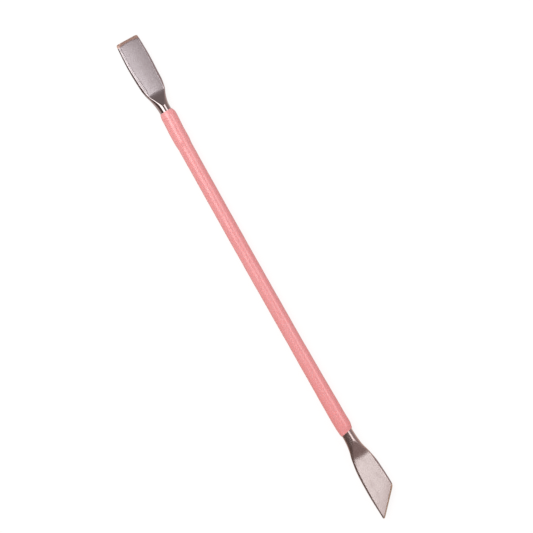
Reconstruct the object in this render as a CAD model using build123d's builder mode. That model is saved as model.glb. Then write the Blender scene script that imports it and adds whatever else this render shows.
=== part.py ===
"""Cuticle pusher: a steel rod with both ends forged flat, in a tight plastic grip sleeve.

Millimetres. The origin is the middle of the grip sleeve, on the rod's axis. +X runs towards the
slanted knife blade, -X towards the square pusher blade, and +Z is where the blades' faces look.
The upper and lower halves are mirror images.
"""

import os
from math import radians, tan

from build123d import *

# Steel rod, bare for a few millimetres on both sides of the sleeve
ROD_RADIUS = 1.5

# Forged blades: thickness at the foot of the ramps and at the tip
BLADE_ROOT_THICKNESS = 1.1
BLADE_TIP_THICKNESS = 0.6

# Where the forged ends start, just outside the sleeve, and how far the dies reach sideways
NECK = 44.6
DIE_WIDTH = 10.0

# Square pusher blade. Every distance and point is measured from the origin towards the blade's tip.
PUSHER_RAMP = (45.9, 49.2)
PUSHER_SHOULDER = (50.0, 2.70)
PUSHER_BELLY = (57.6, 3.10)
PUSHER_TIP = (63.6, 2.85)
PUSHER_CORNER_RADIUS = 0.5
PUSHER_EDGE_THICKNESS = 0.26
PUSHER_BEVEL_ANGLE = 15.0

# Slanted knife blade: a long inner side that ends in the point, and a shorter outer side
KNIFE_RAMP = (46.9, 50.8)
KNIFE_OUTER_SHOULDER = (50.0, 2.66)
KNIFE_OUTER_BELLY = (55.8, 3.24)
KNIFE_OUTER_CORNER = (60.4, 3.43)
KNIFE_OUTER_RADIUS = 1.6
KNIFE_INNER_SHOULDER = (50.0, -2.46)
KNIFE_INNER_BELLY = (58.8, -2.92)
KNIFE_POINT = (66.9, -2.53)
KNIFE_POINT_RADIUS = 0.25
KNIFE_EDGE_THICKNESS = 0.2
KNIFE_BEVEL_ANGLE = 28.0

# How wide the rod spreads under the press, as (distance from the origin, half width).
# Past the shoulders it spreads beyond the finished blade, whose sides are then trimmed.
PUSHER_SPREAD = (
    (NECK, ROD_RADIUS),
    (45.6, ROD_RADIUS),
    (47.7, 1.87),
    (49.6, 2.5),
    (51.5, 3.0),
    (54.0, 3.5),
    (68.0, 4.5),
)
KNIFE_SPREAD = (
    (NECK, ROD_RADIUS),
    (46.0, ROD_RADIUS),
    (48.4, 1.85),
    (50.6, 2.48),
    (52.6, 3.0),
    (55.0, 3.6),
    (68.0, 4.6),
)

# Grip sleeve: a thin tube, thicker in a short band at the pusher end and along a taper at the knife end.
# Each lip is (length, radius at its mouth).
SLEEVE_LENGTH = 88.2
SLEEVE_RADIUS = 1.775
SLEEVE_BAND_RADIUS = 1.93
PUSHER_LIP = (1.0, 1.74)
PUSHER_LIP_ROUNDING = 1.5
PUSHER_BAND_LENGTH = 8.4
PUSHER_BAND_STEP = 1.0
KNIFE_LIP = (1.9, 1.62)
KNIFE_LIP_ROUNDING = 4.0
KNIFE_BAND_LENGTH = 3.0
KNIFE_BAND_TAPER = 22.0


def forged_blank(spread, ramp, tip):
    """A rod end spread sideways and squeezed from above and below, pointing along +X.

    It is round at the neck, falls along a ramp on both sides and runs out in a flat, slightly
    tapered slab.
    """
    root, end = BLADE_ROOT_THICKNESS / 2, BLADE_TIP_THICKNESS / 2
    ramp_start, ramp_end = ramp
    clearance = 0.5
    run_out = clearance * (ramp_end - ramp_start) / (ROD_RADIUS - root)
    with BuildPart() as blank:
        for distance, half_width in spread:
            with BuildSketch(Plane.YZ.offset(distance)):
                Ellipse(half_width, ROD_RADIUS)
        loft()
        with BuildSketch(Plane.XZ):
            with BuildLine():
                upper = Polyline(
                    (NECK, 0),
                    (NECK, ROD_RADIUS + clearance),
                    (ramp_start - run_out, ROD_RADIUS + clearance),
                    (ramp_end, root),
                    (tip, end),
                    (tip, 0),
                )
                mirror(upper, about=Plane.XZ)
            make_face()
        extrude(amount=DIE_WIDTH, both=True, mode=Mode.INTERSECT)
    return blank.part


def bevel_wedges(edge_plane, edge_thickness, angle):
    """The stock ground off above and below a blade's edge. edge_plane's x axis points out of the edge."""
    run = (ROD_RADIUS - edge_thickness / 2) / tan(radians(angle))
    with BuildPart() as wedges:
        with BuildSketch(edge_plane):
            with BuildLine():
                Polyline((0, edge_thickness / 2), (0, ROD_RADIUS), (-run, ROD_RADIUS), close=True)
            make_face()
            mirror(about=Plane.XZ)
        extrude(amount=DIE_WIDTH, both=True)
    return wedges.part


with BuildPart() as pusher_blade:
    add(forged_blank(PUSHER_SPREAD, PUSHER_RAMP, PUSHER_TIP[0]))
    with BuildSketch():
        with BuildLine():
            side = ThreePointArc(PUSHER_SHOULDER, PUSHER_BELLY, PUSHER_TIP)
            Polyline((NECK, 0), (NECK, DIE_WIDTH), (PUSHER_SHOULDER[0], DIE_WIDTH), side @ 0)
            Line(side @ 1, (PUSHER_TIP[0], 0))
            mirror(about=Plane.XZ)
        make_face()
        fillet(vertices().group_by(Axis.X)[-1], PUSHER_CORNER_RADIUS)
    extrude(amount=ROD_RADIUS, both=True, mode=Mode.INTERSECT)
    pusher_edge = Plane(origin=(PUSHER_TIP[0], 0, 0), x_dir=(1, 0, 0), z_dir=(0, -1, 0))
    add(bevel_wedges(pusher_edge, PUSHER_EDGE_THICKNESS, PUSHER_BEVEL_ANGLE), mode=Mode.SUBTRACT)

with BuildPart() as knife_blade:
    add(forged_blank(KNIFE_SPREAD, KNIFE_RAMP, KNIFE_POINT[0]))
    with BuildSketch():
        with BuildLine():
            outer_side = ThreePointArc(KNIFE_OUTER_SHOULDER, KNIFE_OUTER_BELLY, KNIFE_OUTER_CORNER)
            inner_side = ThreePointArc(KNIFE_INNER_SHOULDER, KNIFE_INNER_BELLY, KNIFE_POINT)
            cut = Line(outer_side @ 1, inner_side @ 1)
            Polyline(
                outer_side @ 0,
                (KNIFE_OUTER_SHOULDER[0], DIE_WIDTH),
                (NECK, DIE_WIDTH),
                (NECK, -DIE_WIDTH),
                (KNIFE_INNER_SHOULDER[0], -DIE_WIDTH),
                inner_side @ 0,
            )
        make_face()
        fillet(vertices().sort_by_distance(KNIFE_OUTER_CORNER)[0], KNIFE_OUTER_RADIUS)
        fillet(vertices().sort_by_distance(KNIFE_POINT)[0], KNIFE_POINT_RADIUS)
    extrude(amount=ROD_RADIUS, both=True, mode=Mode.INTERSECT)
    along_cut = (cut @ 1 - cut @ 0).normalized()
    knife_edge = Plane(origin=cut @ 0, x_dir=along_cut.rotate(Axis.Z, 90), z_dir=along_cut)
    add(bevel_wedges(knife_edge, KNIFE_EDGE_THICKNESS, KNIFE_BEVEL_ANGLE), mode=Mode.SUBTRACT)

# One forging: the plain rod through the sleeve, with a blade at each end
with BuildPart() as steel_core:
    with BuildSketch(Plane.YZ.offset(-NECK)):
        Circle(ROD_RADIUS)
    extrude(amount=2 * NECK)
    add(knife_blade.part)
    with Locations(Rotation(0, 0, 180)):
        add(pusher_blade.part)
steel_core.part.label = "steel_core"

with BuildPart() as grip_sleeve:
    pusher_end, knife_end = -SLEEVE_LENGTH / 2, SLEEVE_LENGTH / 2
    pusher_shoulder = (pusher_end + PUSHER_LIP[0], SLEEVE_BAND_RADIUS)
    knife_shoulder = (knife_end - KNIFE_LIP[0], SLEEVE_BAND_RADIUS)
    with BuildSketch(Plane.XZ):
        with BuildLine():
            Polyline(
                (pusher_end, ROD_RADIUS),
                (pusher_end, PUSHER_LIP[1]),
                pusher_shoulder,
                (pusher_end + PUSHER_BAND_LENGTH, SLEEVE_BAND_RADIUS),
                (pusher_end + PUSHER_BAND_LENGTH + PUSHER_BAND_STEP, SLEEVE_RADIUS),
                (knife_end - KNIFE_BAND_LENGTH - KNIFE_BAND_TAPER, SLEEVE_RADIUS),
                (knife_end - KNIFE_BAND_LENGTH, SLEEVE_BAND_RADIUS),
                knife_shoulder,
                (knife_end, KNIFE_LIP[1]),
                (knife_end, ROD_RADIUS),
                close=True,
            )
        make_face()
        fillet(vertices().sort_by_distance(pusher_shoulder)[0], PUSHER_LIP_ROUNDING)
        fillet(vertices().sort_by_distance(knife_shoulder)[0], KNIFE_LIP_ROUNDING)
    revolve(axis=Axis.X)
grip_sleeve.part.label = "grip_sleeve"

os.makedirs("parts", exist_ok=True)
export_step(steel_core.part, "parts/steel_core.step")
export_step(grip_sleeve.part, "parts/grip_sleeve.step")
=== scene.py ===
"""Looks of a double-ended cuticle pusher: polished steel with two forged blades, in a pink grip sleeve.

Shapes are worked out in millimetres, in the CAD frame, and scaled to metres when a mesh is made.
"""

from math import cos, pi, radians, sin, tan

import bmesh
import bpy
import numpy as np
from mathutils import Matrix, Vector


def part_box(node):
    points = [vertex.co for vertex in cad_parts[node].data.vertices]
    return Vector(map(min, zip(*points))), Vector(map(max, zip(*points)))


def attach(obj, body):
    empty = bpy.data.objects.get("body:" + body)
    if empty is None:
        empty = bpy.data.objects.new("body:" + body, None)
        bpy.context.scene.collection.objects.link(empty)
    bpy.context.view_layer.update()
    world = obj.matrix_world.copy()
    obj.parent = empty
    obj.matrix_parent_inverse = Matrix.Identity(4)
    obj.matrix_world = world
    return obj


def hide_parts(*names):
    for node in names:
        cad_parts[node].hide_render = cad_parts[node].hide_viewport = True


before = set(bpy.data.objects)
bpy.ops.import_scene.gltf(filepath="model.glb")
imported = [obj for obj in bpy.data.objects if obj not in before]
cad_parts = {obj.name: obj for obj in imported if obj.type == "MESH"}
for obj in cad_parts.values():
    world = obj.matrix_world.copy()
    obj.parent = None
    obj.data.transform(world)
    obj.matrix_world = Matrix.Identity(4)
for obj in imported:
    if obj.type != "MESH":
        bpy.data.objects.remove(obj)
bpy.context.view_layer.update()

MM = 0.001

# The CAD boxes that everything is placed by, in millimetres
core_low, core_high = (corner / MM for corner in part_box("steel_core"))
sleeve_low, sleeve_high = (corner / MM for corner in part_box("grip_sleeve"))

ROD_RADIUS = core_high.z
SLEEVE_END = sleeve_high.x
BAND_RADIUS = sleeve_high.z

# The tool isn't quite straight: sideways bow in millimetres per square millimetre from the middle
BOW = 0.000105

# Points closer together than this, in metres, are merged
WELD_DISTANCE = 1e-7


# ---------------------------------------------------------------- curves and blends


def smooth_step(value, start, end):
    """0 before start, 1 after end, and a smooth rise between them."""
    t = np.clip((value - start) / (end - start), 0, 1)
    return t * t * (3 - 2 * t)


def soft_min(a, b, softness):
    """The lower of two heights, rounded where they cross."""
    overlap = np.maximum(softness - np.abs(a - b), 0) / softness
    return np.minimum(a, b) - overlap**2 * softness / 4


def soft_max(a, b, softness):
    """The higher of two heights, rounded where they cross."""
    return -soft_min(-a, -b, softness)


def spline(points):
    """A smooth curve through (place, value) points, as a function of the place."""
    places, values = np.array(points, float).T
    slopes = np.gradient(values, places)

    def curve(x):
        i = np.clip(np.searchsorted(places, x) - 1, 0, len(places) - 2)
        span = places[i + 1] - places[i]
        t = (x - places[i]) / span
        rise = t * t * (3 - 2 * t)
        bend = t * (1 - t) * ((1 - t) * slopes[i] - t * slopes[i + 1])
        return values[i] + rise * (values[i + 1] - values[i]) + bend * span

    return curve


def distance_to_path(points, path):
    """Each point's distance to the nearest place on a path of straight pieces."""
    nearest = np.full(len(points), np.inf)
    for start, end in zip(path[:-1], path[1:]):
        along = end - start
        share = np.clip((points - start) @ along / (along @ along + 1e-12), 0, 1)
        gap = points - start - share[:, None] * along
        nearest = np.minimum(nearest, np.hypot(gap[:, 0], gap[:, 1]))
    return nearest


# ---------------------------------------------------------------- the forged blades

# Each blade points along +X here. A side is (distance from the origin, distance from the middle
# line) from the neck to the sharp corner, before the corner is rounded. A rim is the facets along a
# side, as (how far the facet reaches in where the blade is 2 * RIM_HALF_THICKNESS thick, its slope).

# Where a forged end starts: just outside the sleeve
FOOT_START = SLEEVE_END + 0.3

# Mesh: points across a face, rings along a foot, a blade and the rod, points of an outline and a corner
ACROSS = 96
FOOT_RINGS = 56
BLADE_RINGS = 112
ROD_RINGS = 41
SIDE_POINTS = 400
CORNER_POINTS = 24

# Half thickness where the ramp ends, at the tip, and where a rim's reach is given
ROOT_HALF_THICKNESS = 0.55
TIP_HALF_THICKNESS = 0.30
RIM_HALF_THICKNESS = 0.45

# How far past the CAD part's ends the outlines run: the square tip, and the point before it is rounded
TIP_OVERRUN = 0.06
POINT_OVERRUN = 0.33

# Length of the stretch before a corner that gives a side's direction there
CORNER_STRETCH = 0.5

# From this far past the ramp's end, the squeezed rod spreads past the finished sides at this slope
TRIM_DELAY = 0.6
TRIM_SLOPE = 0.22

# How much the exponent of the rod's elliptic section drops under the press
SECTION_DROP = 0.4

# Square of the distance from the middle line, as a share, at which a hollow flat has the slab's height
HOLLOW_LEVEL = 0.4

# Softness where the round rod meets the flat, at the ramp's end, at the bevel and between facets
RIDGE_SOFTNESS = 0.17
RAMP_SOFTNESS = 0.16
BEVEL_SOFTNESS = 0.05
RIM_SOFTNESS = 0.02

# A facet never takes off more than this share of the height
RIM_LIMIT = 0.95

# Distances from the ramp's end over which the flat's finish and the facets set in
FLAT_ONSET = (-0.9, 0.5)
RIM_ONSET = (-1.2, 2.2)

# Differences in height over which the flat's finish and the bevel's begin
FLAT_BORDER = (0, 0.2)
BEVEL_BORDER = (-0.01, 0.01)

# Distances from the cutting edge over which the darker zone beside it fades out
EDGE_DARKENING_FADE = (0.4, 3.0)

# How much of the ground finish a facet loses, and the depth at which it has lost it
RIM_POLISH = 0.4
RIM_POLISH_DEPTH = 0.12

# The numbers stored at each point of the steel, for its material
FINISH_MASKS = ("ground", "bevel", "worn")


def pusher_shape():
    """The square blade, with a straight edge across its tip."""
    tip = -core_low.x
    outer = (
        (FOOT_START, ROD_RADIUS),
        (tip - 18.0, 1.60),
        (tip - 15.9, 2.03),
        (tip - 14.2, 2.55),
        (tip - 12.8, 2.82),
        (tip - 10.0, 3.05),
        (tip - 6.0, 3.19),
        (tip + TIP_OVERRUN, 2.93),
    )
    inner = (
        (FOOT_START, -ROD_RADIUS),
        (tip - 18.0, -1.51),
        (tip - 15.9, -2.02),
        (tip - 14.2, -2.69),
        (tip - 12.8, -2.92),
        (tip - 10.0, -3.01),
        (tip - 6.0, -3.11),
        (tip + TIP_OVERRUN, -2.87),
    )
    return dict(
        outer=outer,
        inner=inner,
        outer_radius=0.5,
        inner_radius=0.5,
        outer_rim=((0.90, 0.312), (0.56, 0.85)),
        inner_rim=((0.48, 0.62),),
        fan_start=tip - 13.0,
        ramp=(tip - 17.6, tip - 14.75),
        ramp_crown=0.0,
        hollow=0.09,
        edge_thickness=0.21,
        bevel_angle=15.0,
    )


def knife_shape():
    """The slanted blade: a long inner side that ends in the point, and a shorter outer side."""
    point = core_high.x + POINT_OVERRUN
    outer = (
        (FOOT_START, ROD_RADIUS),
        (point - 20.9, 1.58),
        (point - 18.5, 1.89),
        (point - 16.4, 2.50),
        (point - 14.4, 2.87),
        (point - 11.0, 3.18),
        (point - 6.3, 3.37),
    )
    inner = (
        (FOOT_START, -ROD_RADIUS),
        (point - 20.9, -ROD_RADIUS),
        (point - 18.5, -1.80),
        (point - 16.4, -2.34),
        (point - 14.4, -2.66),
        (point - 8.0, -3.02),
        (point, -2.83),
    )
    return dict(
        outer=outer,
        inner=inner,
        outer_radius=1.6,
        inner_radius=0.25,
        outer_rim=((0.45, 0.45),),
        inner_rim=((0.27, 0.85),),
        fan_start=point - 16.4,
        ramp=(point - 20.0, point - 16.1),
        ramp_crown=0.05,
        hollow=0.015,
        edge_thickness=0.30,
        bevel_angle=28.0,
    )


def rounded_side(side, radius, towards):
    """A side as a path of points, its last corner rounded into the edge that leaves towards a point."""
    curve = spline(side)
    corner_x = side[-1][0]
    before_x = corner_x - CORNER_STRETCH
    corner = np.array((corner_x, curve(corner_x)))
    before = np.array((before_x, curve(before_x)))
    ahead = (corner - before) / np.linalg.norm(corner - before)
    away = (towards - corner) / np.linalg.norm(towards - corner)
    turn = np.arccos(ahead @ away)
    inward = away - (away @ ahead) * ahead
    inward /= np.linalg.norm(inward)
    tangent = corner - ahead * radius * tan(turn / 2)
    xs = np.linspace(side[0][0], tangent[0], SIDE_POINTS)[:-1]
    run = np.column_stack((xs, curve(xs)))
    angles = np.linspace(0, turn, CORNER_POINTS)[:, None]
    arc = tangent + radius * (ahead * np.sin(angles) + inward * (1 - np.cos(angles)))
    return np.vstack((run, arc))


def along_path(path, start_x, shares):
    """Points at the given shares of a path's length, counted from where it passes start_x."""
    first = np.searchsorted(path[:, 0], start_x)
    rest = path[first:]
    lengths = np.concatenate(((0,), np.cumsum(np.hypot(*np.diff(rest, axis=0).T))))
    wanted = shares * lengths[-1]
    return np.column_stack([np.interp(wanted, lengths, rest[:, k]) for k in (0, 1)])


def blade_plan(shape):
    """The blade's outline as two paths, and a grid of plan points, one row per ring."""
    outer_corner, inner_corner = (np.array(shape[name][-1]) for name in ("outer", "inner"))
    outer = rounded_side(shape["outer"], shape["outer_radius"], inner_corner)
    inner = rounded_side(shape["inner"], shape["inner_radius"], outer_corner)
    foot = np.linspace(FOOT_START, shape["fan_start"], FOOT_RINGS)[:-1]
    shares = np.sin(np.linspace(0, pi / 2, BLADE_RINGS))
    ends = []
    for name, path in (("outer", outer), ("inner", inner)):
        foot_points = np.column_stack((foot, spline(shape[name])(foot)))
        ends.append(np.vstack((foot_points, along_path(path, shape["fan_start"], shares))))
    across = (1 - np.cos(np.linspace(0, pi, ACROSS + 1))) / 2
    grid = ends[1][:, None] + across[None, :, None] * (ends[0] - ends[1])[:, None]
    return outer, inner, grid


def pressed_heights(shape, x, y):
    """The squeezed rod with its ramp and flat, before any grinding.

    Returns its height, a mask of the flat, and the flat's half thickness.
    """
    outer_y, inner_y = spline(shape["outer"])(x), spline(shape["inner"])(x)
    middle = (outer_y + inner_y) / 2
    half = (outer_y - inner_y) / 2
    ramp_start, ramp_end = shape["ramp"]
    tip = shape["inner"][-1][0]

    # The squeezed round section, whose flanks get straighter as the press takes hold
    spread = half + TRIM_SLOPE * np.maximum(x - ramp_end - TRIM_DELAY, 0)
    power = 2 - SECTION_DROP * smooth_step(x, ramp_start, ramp_end)
    across = np.minimum(np.abs(y - middle) / spread, 1)
    round_height = ROD_RADIUS * (1 - across**power) ** (1 / power)

    # The ramp that falls to the flat, and the flat that thins out towards the tip
    fall = (ROD_RADIUS - ROOT_HALF_THICKNESS) / (ramp_end - ramp_start)
    ramp = ROD_RADIUS - (x - ramp_start) * fall
    thinning = (TIP_HALF_THICKNESS - ROOT_HALF_THICKNESS) / (tip - ramp_end)
    taper = ROOT_HALF_THICKNESS + (x - ramp_end) * thinning
    off_middle = ((y - middle) / half) ** 2
    hollow = shape["hollow"] * (off_middle - HOLLOW_LEVEL)
    slab = soft_max(ramp - shape["ramp_crown"] * off_middle, taper + hollow, RAMP_SOFTNESS)
    height = soft_min(round_height, slab, RIDGE_SOFTNESS)
    past_ramp = smooth_step(x, ramp_end + FLAT_ONSET[0], ramp_end + FLAT_ONSET[1])
    flat = past_ramp * smooth_step(round_height - slab, *FLAT_BORDER)
    return height, flat, taper


def bevel_heights(shape, outer, inner, points):
    """Height of the bevel along the cutting edge, and each point's distance from that edge."""
    edge = outer[-1] - inner[-1]
    outward = np.array((edge[1], -edge[0])) / np.linalg.norm(edge)
    outward *= np.sign(outward[0])
    from_edge = (outer[-1] - points) @ outward
    rise = from_edge * tan(radians(shape["bevel_angle"]))
    return shape["edge_thickness"] / 2 + rise, from_edge


def rim_drops(shape, outer, inner, points, taper):
    """How much the facets along the two sides take off the height. They fade in past the ramp."""
    ramp_end = shape["ramp"][1]
    grown = smooth_step(points[:, 0], ramp_end + RIM_ONSET[0], ramp_end + RIM_ONSET[1])
    grown = grown * taper / RIM_HALF_THICKNESS
    drop = np.zeros(len(points))
    for path, facets in ((outer, shape["outer_rim"]), (inner, shape["inner_rim"])):
        distance = distance_to_path(points, path)
        for reach, slope in facets:
            drop = soft_max(drop, (reach * grown - distance) * slope, RIM_SOFTNESS)
    return drop


def blade_heights(shape, outer, inner, grid):
    """Height of the upper face over each plan point, and masks of its finish.

    The masks are the ground flat, the bevel along the edge, and a zone beside the bevel that is drawn
    darker.
    """
    points = grid.reshape(-1, 2)
    height, flat, taper = pressed_heights(shape, *points.T)
    bevel_height, from_edge = bevel_heights(shape, outer, inner, points)
    bevel = smooth_step(height - bevel_height, *BEVEL_BORDER)
    # The flats are drawn darker towards the cutting edge
    worn = 1 - smooth_step(from_edge, *EDGE_DARKENING_FADE)
    height = soft_min(height, bevel_height, BEVEL_SOFTNESS)
    drop = rim_drops(shape, outer, inner, points, taper)
    drop = np.minimum(drop, RIM_LIMIT * height)
    # The facets are more polished than the flat
    flat = flat * (1 - RIM_POLISH * smooth_step(drop, 0.0, RIM_POLISH_DEPTH))
    return (values.reshape(grid.shape[:2]) for values in (height - drop, flat, bevel, worn))


def blade_rings(shape, turn):
    """Rings of points round the blade, from the neck to the tip, and their finish masks.

    turn is 1 for the blade along +X, and -1 for the one along -X, which is turned about Z.
    """
    outer, inner, grid = blade_plan(shape)
    height, *masks = blade_heights(shape, outer, inner, grid)
    upper = np.dstack((grid * turn, height))
    lower = np.dstack((grid * turn, -height))[:, ::-1]
    masks = np.dstack(masks)
    return np.hstack((upper, lower)), np.hstack((masks, masks[:, ::-1]))


def rod_rings():
    """Rings of the plain rod between the two blades."""
    angles = np.linspace(0, pi, ACROSS + 1)
    y = np.concatenate((-np.cos(angles), np.cos(angles))) * ROD_RADIUS
    z = np.concatenate((np.sin(angles), -np.sin(angles))) * ROD_RADIUS
    places = np.linspace(-FOOT_START, FOOT_START, ROD_RINGS)[1:-1]
    rings = np.array([np.column_stack((np.full(len(y), x), y, z)) for x in places])
    return rings, np.zeros(rings.shape[:2] + (len(FINISH_MASKS),))


def bowed(points):
    """The points, in millimetres, bent sideways as the real rod is, and scaled to metres."""
    bent = points.copy()
    bent[:, 1] += BOW * points[:, 0] ** 2
    return bent * MM


def mesh_object(name, points, faces):
    """A smooth mesh object that rides on the root body."""
    mesh = bpy.data.meshes.new(name)
    mesh.from_pydata(points.tolist(), [], faces)
    mesh.polygons.foreach_set("use_smooth", [True] * len(mesh.polygons))
    piece = bpy.data.objects.new(name, mesh)
    bpy.context.scene.collection.objects.link(piece)
    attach(piece, "root")
    return piece


def tube_faces(rings, ring_size):
    """Faces between neighbouring rings of one tube."""
    first = np.arange(rings - 1)[:, None] * ring_size
    here = np.arange(ring_size)[None, :]
    after = (here + 1) % ring_size
    quads = np.dstack(
        (first + here, first + after, first + ring_size + after, first + ring_size + here)
    )
    return quads.reshape(-1, 4).tolist()


def end_faces(start, ring_size, flip):
    """The narrow face between the upper and lower rows of a blade's last ring."""
    half = ring_size // 2
    quads = []
    for k in range(half - 1):
        quad = (start + k, start + k + 1, start + ring_size - 2 - k, start + ring_size - 1 - k)
        quads.append(quad[::-1] if flip else quad)
    return quads


def weld(piece):
    """Merges points that lie together, and makes all faces look outwards."""
    shell = bmesh.new()
    shell.from_mesh(piece.data)
    bmesh.ops.remove_doubles(shell, verts=shell.verts, dist=WELD_DISTANCE)
    bmesh.ops.recalc_face_normals(shell, faces=shell.faces)
    shell.to_mesh(piece.data)
    shell.free()


def add_attribute(piece, name, values):
    """Stores one number per point, for the material to read."""
    layer = piece.data.attributes.new(name, "FLOAT", "POINT")
    layer.data.foreach_set("value", values.astype(np.float32))


def build_core():
    """The whole forging as one closed mesh: pusher blade, rod, knife blade."""
    pusher, pusher_masks = blade_rings(pusher_shape(), -1)
    knife, knife_masks = blade_rings(knife_shape(), 1)
    rod, rod_masks = rod_rings()
    # Turned about Z, the pusher's rings run from +Y to -Y: each row is put back in order
    half = ACROSS + 1
    order = np.concatenate((np.arange(half)[::-1], np.arange(half, 2 * half)[::-1]))
    rings = np.concatenate((pusher[::-1][:, order], rod, knife))
    masks = np.concatenate((pusher_masks[::-1][:, order], rod_masks, knife_masks))
    count, ring_size = rings.shape[:2]
    faces = tube_faces(count, ring_size)
    faces += end_faces(0, ring_size, False)
    faces += end_faces((count - 1) * ring_size, ring_size, True)
    core = mesh_object("steel_core_polished", bowed(rings.reshape(-1, 3)), faces)
    for k, name in enumerate(FINISH_MASKS):
        add_attribute(core, name, masks[..., k].ravel())
    weld(core)
    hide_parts("steel_core")
    return core


# ---------------------------------------------------------------- the grip sleeve

# Mesh: points around, spacing along the middle, and rings along a lip, a rolled edge and the bore
SLEEVE_AROUND = 96
SLEEVE_STEP = 0.5
LIP_RINGS = 28
EDGE_RINGS = 6
BORE_RINGS = 60

SLEEVE_BORE = ROD_RADIUS + 0.01
WALL_RADIUS = 1.775

# Points further than this outside the bore belong to the wall's outer side
BORE_MARGIN = 0.02

# Each lip is (length, radius at its mouth). Its outline bends in by a power, and its edge is rolled.
PUSHER_LIP = (1.3, 1.56)
KNIFE_LIP = (1.9, 1.66)
LIP_POWER = 1.6
EDGE_ROUNDING = 0.10

# The stretch at each end where the rings lie closer together
LIP_ZONE = 3.0

# Where the thicker wall runs out, as distances from the sleeve's end
PUSHER_BAND = (8.0, 9.8)
KNIFE_TAPER = (3.0, 25.0)

# The tube was cut a little askew, and its ends sit a little off the rod's axis
PUSHER_END_SLANT = 0.05
KNIFE_END_SLANT = 0.22
SLANT_ZONE = 4.0
PUSHER_END_SHIFT = 0.13
KNIFE_END_SHIFT = 0.08
PUSHER_SHIFT_ZONE = (6.0, 1.5)
KNIFE_SHIFT_ZONE = (4.0, 1.0)

# Height of the wall's unevenness
UNEVENNESS = 0.008


def sleeve_radius(x):
    """Outer radius along the sleeve, without its lips' rolled edges."""
    from_pusher, from_knife = SLEEVE_END + x, SLEEVE_END - x
    band = 1 - smooth_step(from_pusher, *PUSHER_BAND)
    taper = np.clip((KNIFE_TAPER[1] - from_knife) / (KNIFE_TAPER[1] - KNIFE_TAPER[0]), 0, 1)
    radius = WALL_RADIUS + (BAND_RADIUS - WALL_RADIUS) * np.maximum(band, taper)
    for distance, (length, mouth) in ((from_pusher, PUSHER_LIP), (from_knife, KNIFE_LIP)):
        missing = np.clip(1 - distance / length, 0, 1)
        radius = radius - (BAND_RADIUS - mouth) * missing**LIP_POWER
    return radius


def rolled_edge(side):
    """Section of the sleeve's rounded edge. side is 1 at the knife's end and -1 at the pusher's."""
    end = side * SLEEVE_END
    mouth = float(sleeve_radius(np.array(end)))
    # Never more than a little under half the wall
    radius = min(EDGE_ROUNDING, (mouth - SLEEVE_BORE) / 2.2)
    centre = np.array((end - side * radius, mouth - radius))
    angles = np.linspace(0, pi / 2, EDGE_RINGS)[::-side]
    return centre + radius * np.column_stack((side * np.cos(angles), np.sin(angles)))


def sleeve_profile():
    """The sleeve's section as (place along the rod, radius) points: outside, then back inside."""
    steps = int(2 * SLEEVE_END / SLEEVE_STEP)
    middle = np.linspace(-SLEEVE_END + LIP_ZONE, SLEEVE_END - LIP_ZONE, steps)
    lip = LIP_ZONE * (1 - np.cos(np.linspace(0, pi / 2, LIP_RINGS)))[1:-1]
    places = np.concatenate((-SLEEVE_END + lip, middle, (SLEEVE_END - lip)[::-1]))
    outside = np.column_stack((places, sleeve_radius(places)))
    knife_edge, pusher_edge = rolled_edge(1), rolled_edge(-1)
    keep = (places > pusher_edge[-1, 0]) & (places < knife_edge[0, 0])
    bore_places = np.linspace(SLEEVE_END, -SLEEVE_END, BORE_RINGS)
    bore = np.column_stack((bore_places, np.full(BORE_RINGS, SLEEVE_BORE)))
    return np.vstack((outside[keep], knife_edge, bore, pusher_edge))


def uneven(x, angle):
    """The waviness of the sleeve's wall."""
    wave = np.sin(0.55 * x + 1.0) + 0.5 * np.sin(0.21 * x + angle)
    wave += 0.7 * np.sin(1.37 * x + 2 * np.cos(angle))
    return UNEVENNESS * wave


def near_ends(x, pusher_zone, knife_zone):
    """Two rises from 0 to 1 towards the sleeve's ends. A zone is where its rise starts and is full."""
    pusher = smooth_step(-x, *(SLEEVE_END - distance for distance in pusher_zone))
    knife = smooth_step(x, *(SLEEVE_END - distance for distance in knife_zone))
    return pusher, knife


def sleeve_points(profile):
    """The section turned about the rod, with oblique ends and a slightly uneven wall."""
    angles = np.linspace(0, 2 * pi, SLEEVE_AROUND, endpoint=False)
    x = np.repeat(profile[:, 0], SLEEVE_AROUND)
    radius = np.repeat(profile[:, 1], SLEEVE_AROUND)
    angle = np.tile(angles, len(profile))
    outside = radius > SLEEVE_BORE + BORE_MARGIN
    radius = radius + uneven(x, angle) * outside
    y, z = radius * np.cos(angle), radius * np.sin(angle)

    # The wall's outer side shifts at the ends. The bore stays on the rod.
    wall = outside * (radius - SLEEVE_BORE) / (BAND_RADIUS - SLEEVE_BORE)
    pusher, knife = near_ends(x, PUSHER_SHIFT_ZONE, KNIFE_SHIFT_ZONE)
    y = y + (PUSHER_END_SHIFT * pusher + KNIFE_END_SHIFT * knife) * wall

    pusher, knife = near_ends(x, (SLANT_ZONE, 0), (SLANT_ZONE, 0))
    x = x - y * (KNIFE_END_SLANT * knife + PUSHER_END_SLANT * pusher)
    return np.column_stack((x, y, z))


def build_sleeve():
    """The plastic tube as one closed mesh."""
    profile = sleeve_profile()
    faces = tube_faces(len(profile), SLEEVE_AROUND)
    last = (len(profile) - 1) * SLEEVE_AROUND
    for k in range(SLEEVE_AROUND):
        after = (k + 1) % SLEEVE_AROUND
        faces.append((last + k, last + after, after, k))
    sleeve = mesh_object("grip_sleeve_moulded", bowed(sleeve_points(profile)), faces)
    weld(sleeve)
    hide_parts("grip_sleeve")
    return sleeve


# ---------------------------------------------------------------- materials


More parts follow.
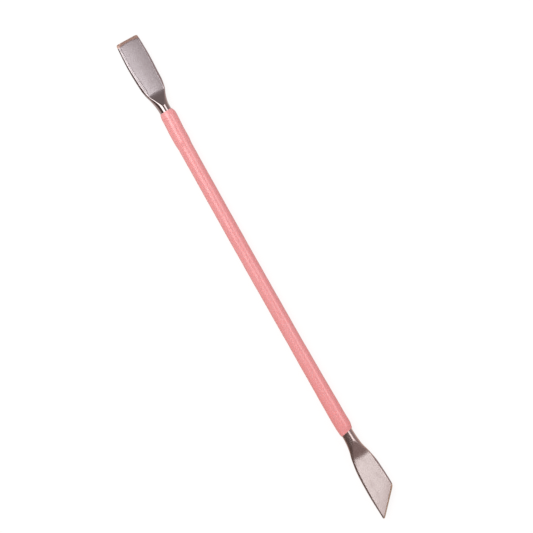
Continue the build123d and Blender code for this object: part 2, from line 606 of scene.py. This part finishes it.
class Nodes:
    """Short calls for building one node tree."""

    def __init__(self, tree):
        self.tree = tree
        tree.nodes.clear()

    def add(self, kind, **settings):
        """A new node. Settings whose names are sockets set them; a socket value links."""
        node = self.tree.nodes.new(kind)
        for name, value in settings.items():
            if name in node.bl_rna.properties:
                setattr(node, name, value)
        for name, value in settings.items():
            if name not in node.bl_rna.properties:
                self.put(node, name.replace("_", " "), value)
        return node

    def put(self, node, socket, value):
        """Sets or links one input, named by its label or by its number."""
        numbered = socket.startswith("in") and socket[2:].isdigit()
        target = node.inputs[int(socket[2:]) if numbered else socket]
        if isinstance(value, bpy.types.NodeSocket):
            self.tree.links.new(value, target)
        else:
            target.default_value = value

    def math(self, operation, a, b=0.0):
        """One sum, product or the like of two numbers."""
        node = self.add("ShaderNodeMath", operation=operation, in0=a, in1=b)
        return node.outputs[0]

    def mix(self, share, a, b):
        """A colour between a and b. A colour is a socket, or red, green, blue and 1."""
        node = self.add("ShaderNodeMix", data_type="RGBA", in0=share, in6=a, in7=b)
        return node.outputs[2]

    def remap(self, value, low, high, to_low=0.0, to_high=1.0):
        """The value, carried from the range low to high over to the other range, and clamped."""
        ranges = {"in1": low, "in2": high, "in3": to_low, "in4": to_high}
        return self.add("ShaderNodeMapRange", clamp=True, in0=value, **ranges).outputs[0]

    def noise(self, place, scale, detail=2.0, roughness=0.5):
        """Cloudy noise between 0 and 1."""
        kind = "ShaderNodeTexNoise"
        return self.add(kind, Vector=place, Scale=scale, Detail=detail, Roughness=roughness).outputs[0]

    def output(self, kind, surface):
        """The end of the tree."""
        self.add(kind, Surface=surface)

    def axes(self, place):
        """The X, Y and Z of a place or a direction, by name."""
        return self.add("ShaderNodeSeparateXYZ", Vector=place).outputs

    def mask(self, name):
        """The number that the mesh stores at each point under this name."""
        return self.add("ShaderNodeAttribute", attribute_name=name).outputs["Fac"]

    def stretched(self, place, scale, turn=0.0):
        """The place, scaled along each axis and turned about Z, so that noise becomes streaks."""
        node = self.add("ShaderNodeMapping", Vector=place, Scale=scale, Rotation=(0, 0, radians(turn)))
        return node.outputs[0]


# Steel colours, each for the square blade and for the slanted one
ROD_TINTS = ("cec2c1", "d5c6c3")
FLAT_TINTS = ("e4dde1", "e9dedc")
DULL_TINTS = ("d3c9cd", "cfbfbd")
# The bevels' warm tint is painted reflection: it stands in for the brownish surroundings that they
# mirror
BEVEL_REFLECTION_TINTS = ("d6b6a9", "d8c0aa")

# Where along X, in metres, the steel changes to the slanted blade's looks, and the sleeve's painted
# shade towards that end sets in
KNIFE_FINISH = (0.0, 0.03)
SLEEVE_SHADE_RANGE = (0.0, 0.044)

# Noise scales along X, Y and Z, per metre
CLOUDS = (260, 420, 260)
GRINDING_LINES = (500, 22000, 500)
SCRATCHES = (9000, 300, 300)
PATCHES = (60, 200, 200)
STREAKS = (90, 1500, 1500)

# Sleeve colours: two in broad patches, one in streaks, and a darker one that grows towards the slanted
# blade as painted shade
SLEEVE_PATCHES = ("f09d9f", "f3a2a4")
SLEEVE_STREAKS = "f5a5a8"
SLEEVE_KNIFE_END_SHADE = "ee9798"


def rgb(text):
    """A linear colour with alpha from a six-digit sRGB hex colour."""
    parts = [int(text[k : k + 2], 16) / 255 for k in (0, 2, 4)]
    return [p / 12.92 if p <= 0.04045 else ((p + 0.055) / 1.055) ** 2.4 for p in parts] + [1.0]


def new_material(name):
    """A node material, and the short calls for building it."""
    material = bpy.data.materials.new(name)
    material.use_nodes = True
    return material, Nodes(material.node_tree)


def steel_colour(n, knife, ground, bevel, darkened):
    """The polished rod, then the flats with their stains and darker zone by the edge, then the bevels,
    whose warm tint is painted reflection.
    """
    rod, flat, dull, edge = (
        n.mix(knife, *map(rgb, tints)) for tints in (ROD_TINTS, FLAT_TINTS, DULL_TINTS, BEVEL_REFLECTION_TINTS)
    )
    colour = n.mix(ground, rod, n.mix(darkened, flat, dull))
    # The bevels take the warm tint, a painted reflection of brownish surroundings
    return n.mix(bevel, colour, edge)


def steel_grain(n, place):
    """Fine grinding lines along the blades, and small scratches."""
    lines = n.noise(n.stretched(place, GRINDING_LINES, 4.0), 1.0, 3.0, 0.6)
    scratches = n.noise(n.stretched(place, SCRATCHES, 35.0), 1.0, 2.0, 0.5)
    return n.math("ADD", n.math("MULTIPLY", lines, 0.8), n.math("MULTIPLY", scratches, 0.2))


def steel_roughness(n, place, knife, ground, bevel, stain, grain):
    """Glossy on the rod, satin on the flats, and duller on the bevels and near the slanted blade."""
    wear = n.noise(place, 900.0, 3.0)
    dulled = n.math("MULTIPLY", knife, 0.13)
    polish = n.math("ADD", n.remap(wear, 0.3, 0.7, 0.06, 0.12), dulled)
    stained = n.math("MULTIPLY", stain, 0.05)
    satin = n.math("ADD", n.remap(grain, 0.35, 0.65, 0.27, 0.31), stained)
    polished_share = n.math("MULTIPLY", polish, n.math("SUBTRACT", 1.0, ground))
    satin_share = n.math("MULTIPLY", satin, ground)
    finish = n.math("ADD", polished_share, satin_share)
    return n.math("ADD", finish, n.math("MULTIPLY", bevel, 0.2))


def steel_material():
    """Polished stainless steel: bright rod, finely ground flats, ground bevels with a warm tint that
    paints in the brownish surroundings they mirror.
    """
    material, n = new_material("stainless_steel")
    place = n.add("ShaderNodeTexCoord").outputs["Object"]
    ground, bevel, worn = (n.mask(name) for name in FINISH_MASKS)
    knife = n.remap(n.axes(place)["X"], *KNIFE_FINISH)

    # Faint cloudy stains, and a zone beside the bevels that is drawn darker
    clouds = n.noise(n.stretched(place, CLOUDS), 1.0, 4.0, 0.6)
    stain = n.remap(clouds, 0.50, 0.72)
    darkened = n.math("MAXIMUM", n.math("MULTIPLY", stain, 0.6), n.math("MULTIPLY", worn, 0.6))

    grain = steel_grain(n, place)
    depth = n.math("ADD", 0.01, n.math("MULTIPLY", ground, 0.09))
    shader = n.add(
        "ShaderNodeBsdfPrincipled",
        Base_Color=steel_colour(n, knife, ground, bevel, darkened),
        Metallic=1.0,
        Roughness=steel_roughness(n, place, knife, ground, bevel, stain, grain),
        Normal=n.add("ShaderNodeBump", Strength=depth, Distance=0.00002, Height=grain).outputs[0],
    )
    n.output("ShaderNodeOutputMaterial", shader.outputs[0])
    return material


def sleeve_material():
    """Soft satin plastic in salmon pink, a little translucent, with painted shade towards the slanted
    blade's end.
    """
    material, n = new_material("salmon_plastic")
    place = n.add("ShaderNodeTexCoord").outputs["Object"]
    broad = n.noise(n.stretched(place, PATCHES), 1.0, 2.0)
    streaks = n.noise(n.stretched(place, STREAKS), 1.0, 3.0, 0.6)
    specks = n.noise(place, 5200.0, 2.0)

    tint = n.mix(n.remap(broad, 0.35, 0.65), *map(rgb, SLEEVE_PATCHES))
    tint = n.mix(n.remap(streaks, 0.45, 0.75, 0.0, 0.3), tint, rgb(SLEEVE_STREAKS))
    # Painted shade: the sleeve's tint darkens towards the slanted blade's end
    knife_end_shade = n.remap(n.axes(place)["X"], *SLEEVE_SHADE_RANGE, 0.0, 0.6)
    tint = n.mix(knife_end_shade, tint, rgb(SLEEVE_KNIFE_END_SHADE))

    height = n.math("ADD", n.math("MULTIPLY", specks, 0.35), n.math("MULTIPLY", streaks, 0.65))
    shader = n.add(
        "ShaderNodeBsdfPrincipled",
        Base_Color=tint,
        Roughness=n.remap(specks, 0.3, 0.7, 0.22, 0.25),
        Normal=n.add("ShaderNodeBump", Strength=0.03, Distance=0.00004, Height=height).outputs[0],
        IOR=1.53,
        Specular_IOR_Level=1.0,
        Subsurface_Weight=0.12,
        Subsurface_Radius=(0.0012, 0.0005, 0.0004),
        Subsurface_Scale=1.0,
    )
    n.output("ShaderNodeOutputMaterial", shader.outputs[0])
    return material


# ---------------------------------------------------------------- stage, light and camera

# The camera leans from straight above towards -Y, and is rolled so that the tool lies on a slant
CAMERA_LEAN = radians(13.0)
TOOL_SLANT = radians(29.42)
CAMERA_DISTANCE = 1.2
SENSOR = 36.0

# What the picture covers, in metres: its width, and how far right of and above the origin its middle is
PICTURE_WIDTH = 0.1277
PICTURE_OFFSET = (0.00264, 0.00135)

# The floor lies this far under the sleeve, in metres, and reaches this far out
FLOOR_GAP = 0.00002
FLOOR_REACH = 6.0

# Light from all round, which warms from -Y to +Y
EVEN_LIGHT = ((1.06, 0.99, 0.95, 1), (1.16, 1.0, 0.99, 1))
EVEN_STRENGTH = 0.66

# The room that the steel mirrors. The ceiling's two colours are over the square and the slanted blade.
CEILING = ((0.215, 0.182, 0.182, 1), (0.25, 0.186, 0.178, 1))
DARK_SIDE = (0.10, 0.062, 0.054, 1)
FAR_SIDE = (0.35, 0.27, 0.265, 1)
END_WALLS = (0.72, 0.66, 0.65, 1)

# The floor as the steel mirrors it: beside the square blade, beside the slanted one on its shaded
# and on its lit side, and far from the tool
FLOOR_BY_PUSHER = (0.62, 0.52, 0.50, 1)
FLOOR_BY_KNIFE = ((0.10, 0.05, 0.035, 1), (0.62, 0.46, 0.40, 1))
FLOOR_FAR = (0.14, 0.10, 0.09, 1)

# The light that the floor throws back up at the sleeve
FLOOR_BOUNCE = (0.72, 0.49, 0.38, 1)
WHITE = (1, 1, 1, 1)


def camera_axes():
    """The picture's right and up directions and the direction back to the camera."""
    sideways = Vector((0, cos(CAMERA_LEAN), sin(CAMERA_LEAN)))
    back = Vector((0, -sin(CAMERA_LEAN), cos(CAMERA_LEAN)))
    right = Vector((1, 0, 0)) * sin(TOOL_SLANT) + sideways * cos(TOOL_SLANT)
    up = Vector((-1, 0, 0)) * cos(TOOL_SLANT) + sideways * sin(TOOL_SLANT)
    return right, up, back


def add_camera():
    """A long lens at the photo's angle, so that the perspective is slight."""
    right, up, back = camera_axes()
    target = right * PICTURE_OFFSET[0] + up * PICTURE_OFFSET[1]
    camera = bpy.data.objects.new("camera", bpy.data.cameras.new("camera"))
    camera.data.sensor_width = SENSOR
    camera.data.lens = SENSOR * CAMERA_DISTANCE / PICTURE_WIDTH
    camera.data.clip_start = 0.05
    camera.data.clip_end = 20
    place = target + back * CAMERA_DISTANCE
    turn = Matrix((right, up, back)).transposed().to_4x4()
    camera.matrix_world = Matrix.Translation(place) @ turn
    bpy.context.scene.collection.objects.link(camera)
    bpy.context.scene.camera = camera


def mirrored_floor(n, axes):
    """Colour of the floor in the steel's reflections."""
    by_knife = n.mix(n.remap(axes["Y"], -0.0055, -0.0025), *FLOOR_BY_KNIFE)
    near = n.mix(n.remap(axes["X"], -0.055, 0.045), FLOOR_BY_PUSHER, by_knife)
    away = n.math("MAXIMUM", n.remap(axes["Y"], -0.006, -0.02), n.remap(axes["Y"], 0.02, 0.06))
    return n.mix(away, near, FLOOR_FAR)


def floor_material():
    """Pale to the camera. The steel mirrors it darker, and it lights the sleeve with a warm bounce."""
    material, n = new_material("pale_floor")
    place = n.add("ShaderNodeTexCoord").outputs["Object"]
    path = n.add("ShaderNodeLightPath").outputs
    pale = n.mix(n.noise(place, 300.0), (0.80, 0.80, 0.80, 1), (0.82, 0.82, 0.82, 1))
    matte = n.add("ShaderNodeBsdfDiffuse", Color=pale).outputs[0]
    glow = n.add("ShaderNodeEmission", Color=WHITE, Strength=1.08).outputs[0]
    seen = n.add("ShaderNodeMixShader", in0=0.8, in1=matte, in2=glow).outputs[0]
    bounced = n.add("ShaderNodeEmission", Color=FLOOR_BOUNCE, Strength=1.0).outputs[0]
    lit = n.add("ShaderNodeMixShader", in0=path["Is Diffuse Ray"], in1=seen, in2=bounced).outputs[0]
    dim = mirrored_floor(n, n.axes(place))
    mirrored = n.add("ShaderNodeEmission", Color=dim, Strength=1.0).outputs[0]
    whole = n.add("ShaderNodeMixShader", in0=path["Is Glossy Ray"], in1=lit, in2=mirrored).outputs[0]
    n.output("ShaderNodeOutputMaterial", whole)
    return material


def add_floor():
    """A pale, plain floor just under the sleeve."""
    height = sleeve_low.z * MM - FLOOR_GAP
    signs = ((-1, -1), (1, -1), (1, 1), (-1, 1))
    corners = [(x * FLOOR_REACH, y * FLOOR_REACH, height) for x, y in signs]
    mesh = bpy.data.meshes.new("floor")
    mesh.from_pydata(corners, [], [(0, 1, 2, 3)])
    mesh.materials.append(floor_material())
    floor = bpy.data.objects.new("floor", mesh)
    bpy.context.scene.collection.objects.link(floor)


def mirrored_room(n, axes):
    """Colour of the room in the steel's reflections, by direction."""
    ceiling = n.mix(n.remap(axes["X"], -0.4, 0.4), *CEILING)
    dark_side = n.mix(n.remap(axes["Y"], -0.75, 0.20), DARK_SIDE, ceiling)
    both_sides = n.mix(n.remap(axes["Y"], 0.3, 1.0), dark_side, FAR_SIDE)
    # Past both ends of the tool there is a pale wall, which reaches higher towards -Y
    share = n.remap(axes["Y"], -0.3, 0.1, 0.3, 0.7)
    sideways = n.math("SUBTRACT", n.math("ABSOLUTE", axes["X"]), n.math("MULTIPLY", axes["Z"], share))
    return n.mix(n.remap(sideways, 0.12, 0.32), both_sides, END_WALLS)


def add_world():
    """Even, pale light from all round. The steel mirrors a darker room, so that the softboxes show."""
    world = bpy.data.worlds.new("studio")
    bpy.context.scene.world = world
    world.use_nodes = True
    n = Nodes(world.node_tree)
    path = n.add("ShaderNodeLightPath").outputs
    axes = n.axes(n.add("ShaderNodeTexCoord").outputs["Generated"])
    warmth = n.mix(n.remap(axes["Y"], -0.6, 0.6), *EVEN_LIGHT)
    even = n.add("ShaderNodeBackground", Color=warmth, Strength=EVEN_STRENGTH).outputs[0]
    room = n.add("ShaderNodeBackground", Color=mirrored_room(n, axes), Strength=1.0).outputs[0]
    backdrop = n.add("ShaderNodeBackground", Color=WHITE, Strength=1.0).outputs[0]
    unseen = n.add("ShaderNodeMixShader", in0=path["Is Glossy Ray"], in1=even, in2=room).outputs[0]
    whole = n.add("ShaderNodeMixShader", in0=path["Is Camera Ray"], in1=unseen, in2=backdrop).outputs[0]
    n.output("ShaderNodeOutputWorld", whole)


def add_softbox(name, centre_x, lean, distance, size, brightness, diffuse=True, glossy=True):
    """A rectangular softbox over the tool. lean is its angle from straight above, towards +Y.

    diffuse and glossy say whether it lights matte surfaces, and whether it is mirrored.
    """
    back = Vector((0, sin(radians(lean)), cos(radians(lean))))
    length, width = size
    light = bpy.data.lights.new(name, "AREA")
    light.shape = "RECTANGLE"
    light.size, light.size_y = length, width
    # A light of this power looks equally bright whatever its size
    light.energy = brightness * pi * length * width
    lamp = bpy.data.objects.new(name, light)
    right = Vector((1, 0, 0))
    turn = Matrix((right, back.cross(right), back)).transposed().to_4x4()
    lamp.matrix_world = Matrix.Translation(Vector((centre_x, 0, 0)) + back * distance) @ turn
    lamp.visible_camera = False
    lamp.visible_diffuse = diffuse
    lamp.visible_glossy = glossy
    bpy.context.scene.collection.objects.link(lamp)


def add_lights():
    """A key light that only lights, and two softboxes that are only mirrored."""
    add_softbox(
        "key",
        centre_x=-0.28,
        lean=-28.0,
        distance=0.60,
        size=(0.60, 0.40),
        brightness=2.8,
        glossy=False,
    )
    add_softbox(
        "softbox_left",
        centre_x=-0.205,
        lean=-35.0,
        distance=0.40,
        size=(0.37, 0.25),
        brightness=2.0,
        diffuse=False,
    )
    add_softbox(
        "softbox_right",
        centre_x=0.0225,
        lean=24.2,
        distance=0.40,
        size=(0.225, 0.174),
        brightness=1.45,
        diffuse=False,
    )


# ---------------------------------------------------------------- the scene

core = build_core()
sleeve = build_sleeve()
core.data.materials.append(steel_material())
sleeve.data.materials.append(sleeve_material())
add_floor()
add_world()
add_lights()
add_camera()
bpy.context.scene.view_settings.view_transform = "Standard"
